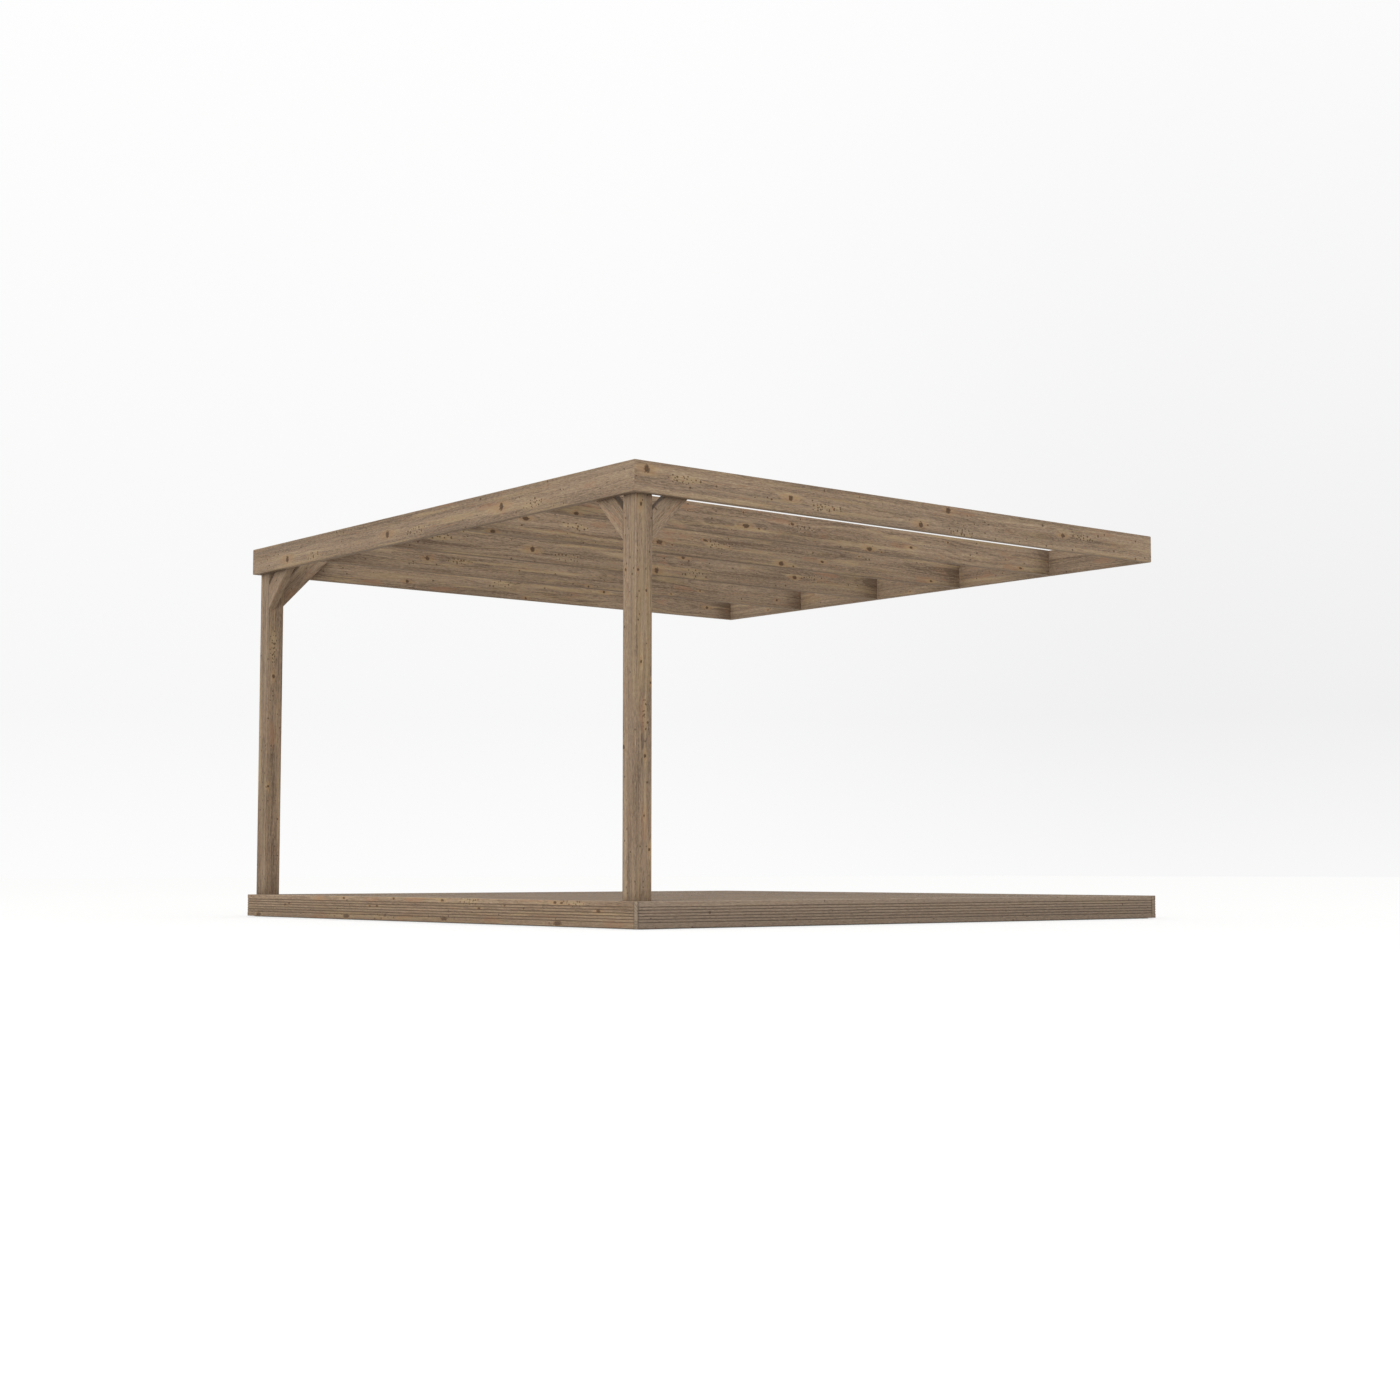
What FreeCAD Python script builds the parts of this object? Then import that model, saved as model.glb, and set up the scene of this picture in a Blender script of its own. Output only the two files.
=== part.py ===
import FreeCAD, Part
import Sketcher
import math
import os
import re

# A wall-mounted timber pergola that stands on its own decking. Millimetres.
# The origin is the middle of the wall plate's back face, where the pergola meets the wall.
# +Z is up, +X runs along the wall, and -Y points away from it toward the two front posts.

os.makedirs("parts", exist_ok=True)
doc = FreeCAD.newDocument("wall_pergola")

# Driving dimensions
SIZES = {
    "roof_width": 3600.0,
    "roof_depth": 3600.0,
    "total_height": 2100.0,
    "beam_thickness": 35.0,
    "beam_height": 145.0,
    "rafter_count": 4,
    "post_side": 95.0,
    "brace_thickness": 45.0,
    "brace_depth": 95.0,
    "brace_reach": 205.0,
    "brace_top_drop": 10.0,
    "wall_hole_diameter": 11.0,
    "wall_hole_from_top": 45.0,
    "deck_right_overhang": 41.0,
    "deck_left_setback": 11.0,
    "deck_front_overhang": 5.0,
    "deck_wall_gap": 62.0,
    "joist_count": 10,
    "joist_thickness": 45.0,
    "joist_height": 95.0,
    "board_thickness": 28.0,
    "board_width": 120.0,
    "board_gap_least": 4.0,
    "board_end_gap": 2.0,
    "board_group_count": 4,
    "groove_count": 6,
    "groove_pitch": 13.7,
    "groove_mouth": 6.0,
    "groove_floor": 3.0,
    "groove_depth": 3.0,
    "timber_arris": 3.0,
    "board_arris": 2.0,
}

sheet = doc.addObject("Spreadsheet::Sheet", "Sizes")
for row, (alias, value) in enumerate(SIZES.items(), start=1):
    sheet.set(f"A{row}", alias)
    sheet.set(f"B{row}", str(value))
    sheet.setAlias(f"B{row}", alias)
doc.recompute()


CELLS = {alias: f"Sizes.{alias}" for alias in SIZES}


def size(alias):
    """A driving dimension, read back from the sheet."""
    return float(getattr(sheet, alias))


def linked(text):
    """The same expression with each driving dimension pointed at its cell of the sheet."""
    return re.sub("[a-z_]+", lambda word: CELLS.get(word[0], word[0]), text)


# How many of each there are. As many whole boards as fit cover the deck.
rafter_count = int(size("rafter_count"))
joist_count = int(size("joist_count"))
groove_count = int(size("groove_count"))
group_count = int(size("board_group_count"))
deck_depth = size("roof_depth") + size("deck_front_overhang") - size("deck_wall_gap")
boarded_depth = deck_depth - 2 * size("board_thickness")
least_gap = size("board_gap_least")
board_count = int((boarded_depth - least_gap) // (size("board_width") + least_gap))

# Levels and lines that several pieces share
GROUND = "(beam_height / 2 - total_height)"
JOIST_TOP = f"({GROUND} + joist_height)"
DECK_TOP = f"({JOIST_TOP} + board_thickness)"
BEAM_TOP = "(beam_height / 2)"
BEAM_UNDERSIDE = "(0 - beam_height / 2)"
ROOF_RIGHT = "(roof_width / 2)"
ROOF_FRONT = "(0 - roof_depth)"
POST_FRONT = f"({ROOF_FRONT} + beam_thickness)"
POST_BACK = f"({POST_FRONT} + post_side)"
DECK_RIGHT = f"({ROOF_RIGHT} + deck_right_overhang)"
DECK_LEFT = f"(deck_left_setback - {ROOF_RIGHT})"
DECK_FRONT = f"({ROOF_FRONT} - deck_front_overhang)"
DECK_BACK = "(0 - deck_wall_gap)"
DECK_WIDTH = f"({DECK_RIGHT} - {DECK_LEFT})"
DECK_DEPTH = f"({DECK_BACK} - {DECK_FRONT})"
FRAME_LEFT = f"({DECK_LEFT} + board_thickness)"
FRAME_FRONT = f"({DECK_FRONT} + board_thickness)"
FRAME_BACK = f"({DECK_BACK} - board_thickness)"
FRAME_WIDTH = f"({DECK_WIDTH} - 2 * board_thickness)"
FRAME_DEPTH = f"({DECK_DEPTH} - 2 * board_thickness)"
RAFTER_PITCH = f"((roof_width - beam_thickness) / {rafter_count + 1})"
JOIST_PITCH = f"(({FRAME_WIDTH} - joist_thickness) / {joist_count - 1})"
BOARD_GAP = f"(({FRAME_DEPTH} - {board_count} * board_width) / {board_count + 1})"
BOARD_PITCH = f"(board_width + {BOARD_GAP})"

# Each timber is drawn with its length along its own X, its width along Y and its thickness
# along Z. These turns say where its length and its width point in the pergola.
ALONG_X = FreeCAD.Vector(1, 0, 0)
ALONG_Y = FreeCAD.Vector(0, 1, 0)
ALONG_Z = FreeCAD.Vector(0, 0, 1)

sub_parts = []


def turn(length_points, width_points):
    """The turn that points a timber's length and width these ways."""
    return FreeCAD.Rotation(length_points, width_points, length_points.cross(width_points), "XYZ")


def origin_item(body, role):
    """The plane or axis of the body's own origin that has this role."""
    return next(item for item in body.Origin.OriginFeatures if item.Role == role)


def new_body(label, place, rotation):
    """An empty body whose place follows the sheet."""
    body = doc.addObject("PartDesign::Body", label)
    body.Label = label
    body.Placement = FreeCAD.Placement(FreeCAD.Vector(0, 0, 0), rotation)
    for axis, text in zip("xyz", place):
        body.setExpression(f"Placement.Base.{axis}", linked(text))
    sub_parts.append(body)
    return body


def new_sketch(body, name, role):
    """A sketch on one of the body's own origin planes."""
    sketch = body.newObject("Sketcher::SketchObject", name)
    sketch.AttachmentSupport = [(origin_item(body, role), "")]
    sketch.MapMode = "FlatFace"
    return sketch


def hold_point(sketch, geometry, end, across, up):
    """Keep a point this far across and up from the sketch's origin."""
    for kind, axis, text in (("DistanceX", -2, across), ("DistanceY", -1, up)):
        if text == "0":
            sketch.addConstraint(Sketcher.Constraint("PointOnObject", geometry, end, axis))
        else:
            held = sketch.addConstraint(Sketcher.Constraint(kind, -1, 1, geometry, end, 100.0))
            sketch.setExpression(f"Constraints[{held}]", linked(text))


def draw_outline(sketch, corners):
    """A closed outline of straight lines, one corner for each pair of expressions."""
    count = len(corners)
    start = []
    for number in range(count):
        angle = 2 * math.pi * number / count
        start.append(FreeCAD.Vector(200 + 100 * math.cos(angle), 200 + 100 * math.sin(angle), 0))
    for number in range(count):
        sketch.addGeometry(Part.LineSegment(start[number], start[(number + 1) % count]))
    for number in range(count):
        following = (number + 1) % count
        sketch.addConstraint(Sketcher.Constraint("Coincident", number, 2, following, 1))
    for number, (across, up) in enumerate(corners):
        hold_point(sketch, number, 1, across, up)


def add_pad(body, sketch, length, reversed_way=False):
    """Give an outline its length."""
    pad = body.newObject("PartDesign::Pad", f"{body.Label}_pad")
    pad.Profile = sketch
    pad.Reversed = reversed_way
    pad.setExpression("Length", linked(length))
    doc.recompute()
    return pad


def ease_arrises(body, base, direction, arris):
    """Chamfer the long edges of a timber, which run this way."""
    names = []
    for number, edge in enumerate(base.Shape.Edges, start=1):
        along = edge.tangentAt(edge.FirstParameter)
        if abs(along.dot(direction)) > 0.999:
            names.append(f"Edge{number}")
    chamfer = body.newObject("PartDesign::Chamfer", f"{body.Label}_arris")
    chamfer.Base = (base, names)
    chamfer.setExpression("Size", linked(arris))
    doc.recompute()


def add_timber(label, place, rotation, length, width, thickness):
    """A planed timber with eased long edges."""
    body = new_body(label, place, rotation)
    sketch = new_sketch(body, f"{label}_section", "YZ_Plane")
    draw_outline(sketch, [("0", "0"), (width, "0"), (width, thickness), ("0", thickness)])
    pad = add_pad(body, sketch, length)
    ease_arrises(body, pad, ALONG_X, "timber_arris")
    return body


# The roof frame: four beams set on edge and mitred at the corners
def add_mitred_beam(label, corner, rotation, length):
    """A beam of the roof frame, laid from one outer corner along its outer face to the next."""
    body = new_body(label, (*corner, BEAM_UNDERSIDE), rotation)
    sketch = new_sketch(body, f"{label}_plan", "XZ_Plane")
    draw_outline(sketch, [
        ("0", "0"),
        (length, "0"),
        (f"({length} - beam_thickness)", "beam_thickness"),
        ("beam_thickness", "beam_thickness"),
    ])
    pad = add_pad(body, sketch, "beam_height", reversed_way=True)
    ease_arrises(body, pad, ALONG_X, "timber_arris")
    return body


CROSSWISE = turn(ALONG_X, ALONG_Z)
FORE_AND_AFT = turn(ALONG_Y, ALONG_Z)
UPRIGHT = turn(ALONG_Z, ALONG_X)
ROOF_LEFT = f"(0 - {ROOF_RIGHT})"

wall_plate = add_mitred_beam("wall_plate", (ROOF_LEFT, "0"), CROSSWISE, "roof_width")
add_mitred_beam("side_beam_right", (ROOF_RIGHT, "0"), turn(-ALONG_Y, ALONG_Z), "roof_depth")
add_mitred_beam("front_beam", (ROOF_RIGHT, ROOF_FRONT), turn(-ALONG_X, ALONG_Z), "roof_width")
add_mitred_beam("side_beam_left", (ROOF_LEFT, ROOF_FRONT), FORE_AND_AFT, "roof_depth")

# Rafters from the wall plate to the front beam, as deep as the frame and butted to it
for number in range(1, rafter_count + 1):
    add_timber(
        f"rafter_{number}",
        (f"({number} * {RAFTER_PITCH} - {ROOF_RIGHT})", POST_FRONT, BEAM_UNDERSIDE),
        FORE_AND_AFT,
        "(roof_depth - 2 * beam_thickness)",
        "beam_height",
        "beam_thickness",
    )


def drill_wall_plate(body):
    """One hole for a wall bolt in the middle of every bay between rafters."""
    sketch = new_sketch(body, "bolt_hole", "XY_Plane")
    sketch.addGeometry(Part.Circle(FreeCAD.Vector(200, 50, 0), ALONG_Z, 10))
    held = sketch.addConstraint(Sketcher.Constraint("Diameter", 0, 20.0))
    sketch.setExpression(f"Constraints[{held}]", linked("wall_hole_diameter"))
    first_bay_middle = f"(({RAFTER_PITCH} + beam_thickness) / 2)"
    hold_point(sketch, 0, 3, first_bay_middle, "(beam_height - wall_hole_from_top)")
    pocket = body.newObject("PartDesign::Pocket", "bolt_hole_cut")
    pocket.Profile = sketch
    pocket.Type = "ThroughAll"
    pocket.Reversed = True
    doc.recompute()
    row_of_holes = body.newObject("PartDesign::LinearPattern", "bolt_hole_row")
    row_of_holes.Originals = [pocket]
    row_of_holes.Direction = (origin_item(body, "X_Axis"), [""])
    row_of_holes.Mode = "Spacing"
    row_of_holes.setExpression("Offset", linked(RAFTER_PITCH))
    row_of_holes.Occurrences = rafter_count + 1
    body.Tip = row_of_holes
    doc.recompute()


drill_wall_plate(wall_plate)


# Two posts, each in the corner between the front beam and a side beam
def add_post(label, left_face):
    """A square post from the decking to the top of the beams."""
    return add_timber(
        label,
        (left_face, POST_FRONT, DECK_TOP),
        UPRIGHT,
        f"({BEAM_TOP} - {DECK_TOP})",
        "post_side",
        "post_side",
    )


POST_RIGHT_OUTER = f"({ROOF_RIGHT} - beam_thickness)"
POST_RIGHT_INNER = f"({POST_RIGHT_OUTER} - post_side)"
add_post("post_left", f"(0 - {POST_RIGHT_OUTER})")
add_post("post_right", POST_RIGHT_INNER)


# Knee braces: planks at 45 degrees, mitred to the post and lapped over the inside of a beam
def add_brace(label, place, away_from_post, across):
    """A brace whose lowest corner is at the given place on the face of its post."""
    body = new_body(label, place, turn(across, away_from_post))
    sketch = new_sketch(body, f"{label}_side", "YZ_Plane")
    mitre = "(brace_depth * sqrt(2))"
    rise = "(brace_reach + beam_height - brace_top_drop)"
    corners = [("0", "0"), (rise, rise), (f"({rise} - {mitre})", rise), ("0", mitre)]
    draw_outline(sketch, corners)
    pad = add_pad(body, sketch, "brace_thickness")
    sloping = FreeCAD.Vector(0, 1, 1)
    ease_arrises(body, pad, sloping.normalize(), "timber_arris")
    return body


BRACE_FOOT = f"({BEAM_UNDERSIDE} - brace_reach)"
add_brace(
    "brace_left_side",
    (f"(0 - {POST_RIGHT_OUTER})", POST_BACK, BRACE_FOOT),
    ALONG_Y,
    ALONG_X,
)
add_brace(
    "brace_right_side",
    (f"({POST_RIGHT_OUTER} - brace_thickness)", POST_BACK, BRACE_FOOT),
    ALONG_Y,
    ALONG_X,
)
add_brace(
    "brace_left_front",
    (f"(0 - {POST_RIGHT_INNER})", f"({POST_FRONT} + brace_thickness)", BRACE_FOOT),
    ALONG_X,
    -ALONG_Y,
)
add_brace(
    "brace_right_front",
    (POST_RIGHT_INNER, POST_FRONT, BRACE_FOOT),
    -ALONG_X,
    ALONG_Y,
)


# The decking: a frame of joists, grooved boards on top, and grooved boards round the edge
def add_joist(label, place, rotation, length):
    """A joist or rim of the floor frame, standing on the ground."""
    return add_timber(label, place, rotation, length, "joist_height", "joist_thickness")


RIM_INSIDE = f"({FRAME_FRONT} + joist_thickness)"
add_joist("deck_rim_front", (FRAME_LEFT, RIM_INSIDE, GROUND), CROSSWISE, FRAME_WIDTH)
add_joist("deck_rim_back", (FRAME_LEFT, FRAME_BACK, GROUND), CROSSWISE, FRAME_WIDTH)
for number in range(joist_count):
    add_joist(
        f"deck_joist_{number + 1}",
        (f"({FRAME_LEFT} + {number} * {JOIST_PITCH})", RIM_INSIDE, GROUND),
        FORE_AND_AFT,
        f"({FRAME_DEPTH} - 2 * joist_thickness)",
    )


def add_grooved_board(label, place, rotation, length):
    """A decking board, its grooves along its length in the face that its Z points out of."""
    body = new_body(label, place, rotation)
    section = new_sketch(body, f"{label}_section", "YZ_Plane")
    draw_outline(section, [
        ("0", "0"),
        ("board_width", "0"),
        ("board_width", "(board_thickness - board_arris)"),
        ("(board_width - board_arris)", "board_thickness"),
        ("board_arris", "board_thickness"),
        ("0", "(board_thickness - board_arris)"),
    ])
    add_pad(body, section, length)

    groove = new_sketch(body, f"{label}_groove", "YZ_Plane")
    centre = f"((board_width - {groove_count - 1} * groove_pitch) / 2)"
    bottom = "(board_thickness - groove_depth)"
    draw_outline(groove, [
        (f"({centre} - groove_floor / 2)", bottom),
        (f"({centre} + groove_floor / 2)", bottom),
        (f"({centre} + groove_mouth / 2)", "board_thickness"),
        (f"({centre} - groove_mouth / 2)", "board_thickness"),
    ])
    cut = body.newObject("PartDesign::Pocket", f"{label}_groove_cut")
    cut.Profile = groove
    cut.Type = "ThroughAll"
    cut.Reversed = True
    doc.recompute()
    grooves = body.newObject("PartDesign::LinearPattern", f"{label}_grooves")
    grooves.Originals = [cut]
    grooves.Direction = (origin_item(body, "Y_Axis"), [""])
    grooves.Mode = "Spacing"
    grooves.setExpression("Offset", linked("groove_pitch"))
    grooves.Occurrences = groove_count
    body.Tip = grooves
    doc.recompute()
    return body


def repeat_board(body, count):
    """Lay more boards like the first beside it, a board pitch apart."""
    boards = body.newObject("PartDesign::LinearPattern", f"{body.Label}_row")
    boards.TransformMode = "Whole shape"
    boards.Direction = (origin_item(body, "Y_Axis"), [""])
    boards.Mode = "Spacing"
    boards.setExpression("Offset", linked(BOARD_PITCH))
    boards.Occurrences = count
    body.Tip = boards
    doc.recompute()


for group in range(group_count):
    first = group * board_count // group_count
    beyond = (group + 1) * board_count // group_count
    boards = add_grooved_board(
        f"deck_boards_{group + 1}",
        (
            f"({FRAME_LEFT} + board_end_gap)",
            f"({FRAME_FRONT} + {BOARD_GAP} + {first} * {BOARD_PITCH})",
            JOIST_TOP,
        ),
        turn(ALONG_X, ALONG_Y),
        f"({FRAME_WIDTH} - 2 * board_end_gap)",
    )
    repeat_board(boards, beyond - first)

# The edge boards follow each other round the deck, each lapping the end of the next
EDGE_BOTTOM = f"({DECK_TOP} - board_width)"
add_grooved_board(
    "edge_board_front",
    (DECK_LEFT, FRAME_FRONT, EDGE_BOTTOM),
    turn(ALONG_X, ALONG_Z),
    f"({DECK_WIDTH} - board_thickness)",
)
add_grooved_board(
    "edge_board_back",
    (DECK_RIGHT, FRAME_BACK, EDGE_BOTTOM),
    turn(-ALONG_X, ALONG_Z),
    f"({DECK_WIDTH} - board_thickness)",
)
add_grooved_board(
    "edge_board_left",
    (FRAME_LEFT, DECK_BACK, EDGE_BOTTOM),
    turn(-ALONG_Y, ALONG_Z),
    f"({DECK_DEPTH} - board_thickness)",
)
add_grooved_board(
    "edge_board_right",
    (f"({DECK_RIGHT} - board_thickness)", DECK_FRONT, EDGE_BOTTOM),
    turn(ALONG_Y, ALONG_Z),
    f"({DECK_DEPTH} - board_thickness)",
)

doc.recompute()

# Every object is sound before its piece is written out
for item in doc.Objects:
    if "Invalid" in item.State or "Error" in item.State:
        raise RuntimeError(f"{item.Name} did not recompute")
for body in sub_parts:
    if body.Shape.isNull() or not body.Shape.isValid():
        raise RuntimeError(f"{body.Label} has no sound shape")
    body.Shape.exportStep(f"parts/{body.Label}.step")
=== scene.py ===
import math
import random
from dataclasses import dataclass

import bmesh
import bpy
from mathutils import Matrix, Vector


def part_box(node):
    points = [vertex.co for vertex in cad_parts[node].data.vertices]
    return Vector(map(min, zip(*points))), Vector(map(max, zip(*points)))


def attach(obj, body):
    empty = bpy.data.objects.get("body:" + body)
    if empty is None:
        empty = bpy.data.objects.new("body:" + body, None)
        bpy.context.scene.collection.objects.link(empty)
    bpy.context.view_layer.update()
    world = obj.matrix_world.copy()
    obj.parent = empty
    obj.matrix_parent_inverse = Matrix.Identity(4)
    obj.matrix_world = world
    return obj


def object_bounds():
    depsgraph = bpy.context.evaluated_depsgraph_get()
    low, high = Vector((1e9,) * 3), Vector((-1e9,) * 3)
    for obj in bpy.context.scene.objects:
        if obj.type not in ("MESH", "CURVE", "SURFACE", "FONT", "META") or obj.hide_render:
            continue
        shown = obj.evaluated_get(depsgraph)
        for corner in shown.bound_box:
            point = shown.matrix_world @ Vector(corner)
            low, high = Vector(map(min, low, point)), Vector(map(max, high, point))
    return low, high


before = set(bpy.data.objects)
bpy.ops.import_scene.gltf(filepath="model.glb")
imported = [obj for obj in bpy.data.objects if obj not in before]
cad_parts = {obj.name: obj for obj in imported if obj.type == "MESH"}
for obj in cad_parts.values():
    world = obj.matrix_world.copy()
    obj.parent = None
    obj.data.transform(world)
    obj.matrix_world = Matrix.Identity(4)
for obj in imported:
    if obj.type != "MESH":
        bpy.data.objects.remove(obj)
cad_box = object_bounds()

# All measures are metres in the row frame: +X runs along the wall, -Y away from it, +Z up.
X_AXIS = Vector((1, 0, 0))
Y_AXIS = Vector((0, 1, 0))
Z_AXIS = Vector((0, 0, 1))
AXES = (X_AXIS, Y_AXIS, Z_AXIS)
DIAGONAL = math.sqrt(0.5)

# The decking: 28 grooved boards in four nodes, laid along X with one pitch.
BOARD_WIDTH = 0.120
BOARD_COUNT = 28
board_groups = sorted(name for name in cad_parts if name.startswith("deck_boards_"))
board_low = min(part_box(name)[0][1] for name in board_groups)
board_high = max(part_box(name)[1][1] for name in board_groups)
board_pitch = (board_high - board_low - BOARD_WIDTH) / (BOARD_COUNT - 1)
first_board = board_low + BOARD_WIDTH / 2
deck_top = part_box(board_groups[0])[1][2]
ground = cad_box[0][2]


def srgb(red, green, blue):
    """A colour written as in a picture, turned into the linear one that the shader takes."""
    def one(value):
        value /= 255
        return value / 12.92 if value <= 0.04045 else ((value + 0.055) / 1.055) ** 2.4
    return (one(red), one(green), one(blue), 1.0)


# The noises of the wood: features a metre along the grain and across it, where each one
# starts, its detail and its roughness.
NOISES = {
    "cluster": (3.2, 13.0, 5.0, 1.0, 0.50),
    "rough_edge": (90.0, 120.0, 2.0, 2.0, 0.50),
    "wander": (1.1, 6.5, 1.0, 2.0, 0.45),
    "ripple": (5.0, 30.0, 8.0, 2.0, 0.50),
    "streak": (1.5, 62.0, 4.0, 3.0, 0.60),
    "patch": (1.6, 9.0, 9.0, 2.0, 0.50),
    "fibre": (14.0, 620.0, 6.0, 2.0, 0.60),
    "grain": (36.0, 235.0, 13.0, 3.0, 0.62),
    "fleck": (70.0, 210.0, 19.0, 1.0, 0.50),
    "island": (1.3, 30.0, 23.0, 4.0, 0.66),
    "red_fleck": (30.0, 95.0, 29.0, 2.0, 0.50),
    "silver": (0.8, 30.0, 17.0, 2.0, 0.50),
    "thread": (2.2, 46.0, 21.0, 2.0, 0.45),
    "crack_patch": (2.6, 12.0, 27.0, 1.0, 0.50),
}
START_WAY = (1.0, 0.37, -0.61)

# The same for noises that follow the growth rings, with features a metre across the rings.
RING_NOISES = {
    "red_flush": (3.4, 95.0, 31.0, 4.0, 0.68),
    "yellow_flush": (1.1, 55.0, 57.0, 2.0, 0.50),
}

# Bands follow the rings too: features a metre along the grain and across the rings, and to a
# radian round the pith. Spokes have theirs to a radian and a metre out, and pores a metre.
BANDS = (0.35, 78.0, 0.8)
SPOKES = (9.0, 6.0)
PORES = (400.0, 900.0, 900.0)

# Where a noise turns into a mark, which fades in between the two values.
EDGES = {
    "cluster": (0.54, 0.68), "island": (0.54, 0.67), "red_flush": (0.54, 0.72),
    "yellow_flush": (0.54, 0.74), "red_fleck": (0.56, 0.70), "silver": (0.50, 0.76),
    "crack_patch": (0.60, 0.70),
}

# How much islands grow round knots and red at placed flushes; how full yellow gets away from
# islands, and red flecks off them and on them.
ISLANDS_AT_KNOTS = 0.13
RED_AT_FLUSHES = 0.16
YELLOW_SHARE = 0.7
FLECK_SHARES = (0.12, 0.50)

# How much noises change the tone: the broad ones, which figure scales, and the fine ones.
BROAD_TONES = {"band": 0.85, "streak": 0.76, "patch": 0.40}
FINE_TONES = {"fibre": 0.55, "grain": 0.95, "fleck": 0.40}
LATEWOOD_TONE = -0.18
ISLAND_TONE = 0.25
MIDDLE_TONE = 0.46
# How much paler undersides get: painted light from below.
UNDERSIDE_LIGHT = 0.17

# The same for end grain.
END_MIDDLE_TONE = 0.92
END_LATEWOOD_TONE = -0.30
PORE_TONE = 0.35
SPOKE_TONE = -0.38

# Places on the scale of tones, and the colours there.
TONE_COLOURS = ((0.10, srgb(104, 86, 69)), (0.48, srgb(149, 127, 104)), (0.92, srgb(184, 161, 134)))

# What covers the wood in places, and the painted light and shade laid the same way: its colour,
# and how much of the wood it hides.
STAINS = {
    "red_flush": (srgb(160, 119, 89), 0.48),
    "yellow_flush": (srgb(168, 144, 101), 0.50),
    "red_fleck": (srgb(163, 113, 82), 1.0),
    "silver": (srgb(138, 121, 104), 0.32),
    "knot_halo": (srgb(154, 116, 78), 0.45),
    "knot_rim": (srgb(56, 40, 27), 0.55),
    "pin_knot": (srgb(80, 58, 37), 0.80),
    "crack": (srgb(58, 46, 36), 0.50),
    # Arrises: worn paler, with a painted highlight on top.
    "worn_lit_arris": (srgb(172, 152, 130), 1.0),
    # Darker deep in the grooves, and painted shade at an edge board's ends.
    "groove_darkening": (srgb(84, 71, 58), 0.36),
    # Painted shade in corners.
    "painted_corner_shade": (srgb(82, 65, 49), 1.0),
}
KNOT_HEART_DARK = srgb(70, 50, 32)
KNOT_HEART_PALE = srgb(100, 72, 47)
END_GRAIN = srgb(176, 152, 124)

# The relief: latewood and fibres stand up, knots stay proud, and cracks go in. Fibres are
# rough, and knots and latewood a little less so.
RELIEF = {
    "late": 0.00016, "fibre": 0.00030, "streak": 0.00045, "knot": 0.00030, "knot_rim": -0.00055,
    "pin": -0.00030, "crack": -0.0011, "end_crack": -0.0008,
}
FIBRE_ROUGHNESS = (0.68, 0.86)
SMOOTHER = {"knot": -0.16, "late": -0.06}

# Growth rings: the width of one, how far they wander and ripple, and how uneven they are.
# Latewood lies between these shares of a ring's width.
RING_WIDTH = 0.0044
RING_WANDER = 0.022
RING_RIPPLE = 0.0022
RING_UNEVENNESS = 4.0
RING_FEATURES = 42.0
LATEWOOD_STARTS = (0.25, 0.88)
LATEWOOD_ENDS = (0.93, 1.0)

# Branches and twigs at random: where they start, how far apart they are, how many there are to a
# radian round the pith, and their radii.
BRANCHES = {"start": 3.1, "spacing": 0.38, "crowding": 1.15, "least": 0.0070, "greatest": 0.0135}
TWIGS = {"start": 11.7, "spacing": 0.026, "crowding": 7.0, "least": 0.0024, "greatest": 0.0062}
NO_BRANCH = 0.00005

# The chance of a branch with the share of knots at 0 and at 1, and that of a twig outside the
# clusters and in them. A branch thins out over a little more chance.
BRANCH_CHANCES = (-0.02, 0.52)
TWIG_CHANCES = (0.018, 0.72)
THINNING = 0.02

# Distances along the grain count for less: a knot at random is a little longer than high, and
# the grain bends round a knot in a much longer outline.
BRANCH_SHARE = 0.85
SWEEP_SHARE = 0.30

# How far knots push the rings aside: one at random in its radii, and a placed one in metres. The
# push fades out over so many radii (the second pair is for placed knots and pin knots).
PUSH = 1.3
PLACED_PUSH = 0.014
PUSH_ENDS = (0.0, 3.4)
PLACED_PUSH_ENDS = (0.0, 3.0)
PUSH_POWER = 1.5

# The parts of a knot, in its own radii: each fades between the two. Its edge is ragged.
RAGGEDNESS = 0.75
KNOT_HEART_ENDS = (0.60, 1.15)
KNOT_RIM_STARTS = (0.50, 0.85)
KNOT_RIM_ENDS = (0.95, 1.40)
PIN_KNOT_ENDS = (0.60, 1.25)
HALO_ENDS = (0.5, 2.4)
GLOW_ENDS = (0.6, 3.8)
CLUSTER_GLOW = 0.9

# The distance to a placed knot, in its radii, where a timber has none, and how far out one
# counts as placed.
FAR_AWAY = 99.0
PLACED_ENDS = (1.6, 2.0)

# How strongly a knot at random covers the wood, and a placed one. The heart has rings too.
KNOT_STRENGTHS = (0.55, 0.95)
PLACED_STRENGTH = 0.95
HEART_RINGS = 17.0

# Half the width of a crack and of a spoke in end grain, as a part of their noise.
CRACK_ENDS = (0.0025, 0.0085)
SPOKE_ENDS = (0.006, 0.02)

# Half the length and width of a cluster of small knots and of a reddish flush, and the part of
# them over which they fade out.
CLUSTER_SIZE = (0.13, 0.026)
FLUSH_SIZE = (0.12, 0.022)
PATCH_ENDS = (0.45, 1.0)

# Faces by the cosine between their normal and a way, and arrises by the product of two.
LOOKS_THAT_WAY = (0.4, 0.8)
END_GRAIN_FACES = (0.75, 0.95)
UNDERSIDES = (-0.8, -0.4)
GROOVED_FACES = (0.15, 0.35)
LIP_FACES = (0.20, 0.45)
ARRIS_FACES = (0.20, 0.45)

# Arrises are worn pale, with a painted highlight on top of the wear, and painted shade lies
# within reach of a corner, where little of the open is seen. Both differ from patch to patch.
WORN_LIT_PATCHES = (0.35, 0.65)
WORN_LIT = (0.10, 0.28)
CORNER_REACH = 0.23
CORNER_OPENNESS = (0.25, 0.97)
CORNER_SHADE_STRENGTH = 0.72
CORNER_SHADE_PATCHES = (0.3, 0.7)
PATCH_CORNER_SHADE = (0.75, 1.0)


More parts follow.
